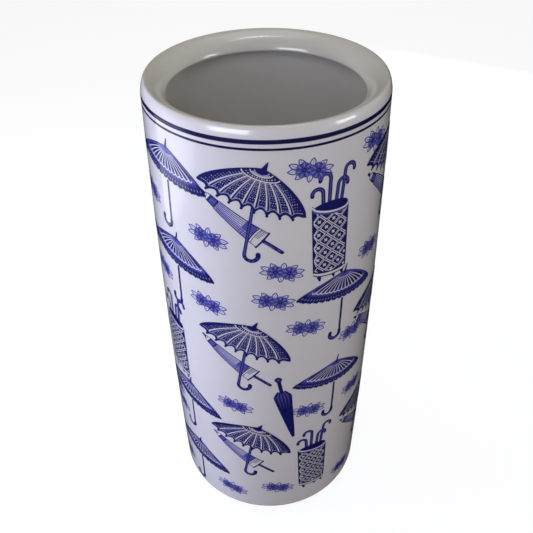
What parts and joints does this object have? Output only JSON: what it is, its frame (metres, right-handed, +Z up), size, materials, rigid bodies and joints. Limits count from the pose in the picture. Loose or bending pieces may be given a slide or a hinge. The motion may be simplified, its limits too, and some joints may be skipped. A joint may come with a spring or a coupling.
{
  "type": "umbrella stand",
  "caption": "Tall round ceramic umbrella stand, faintly bellied, with a thick rolled rim, coved floor and foot ring, white glaze, blue print.",
  "frame": {"origin": "centre of the foot ring's resting face, on the floor", "axes": "+Z up along the body's axis, towards the mouth; -Y towards the front"},
  "size_m": [0.2, 0.2, 0.46],
  "materials": {
    "glazed_body": "glossy white glaze with cobalt blue printed decoration",
    "biscuit_foot": "unglazed, ground flat"
  },
  "bodies": {
    "root": {"body_wall": "glazed_body", "rolled_rim": "glazed_body", "heel_ring": "glazed_body", "floor_slab": "glazed_body", "foot_ring": "biscuit_foot"}
  },
  "joints": []
}
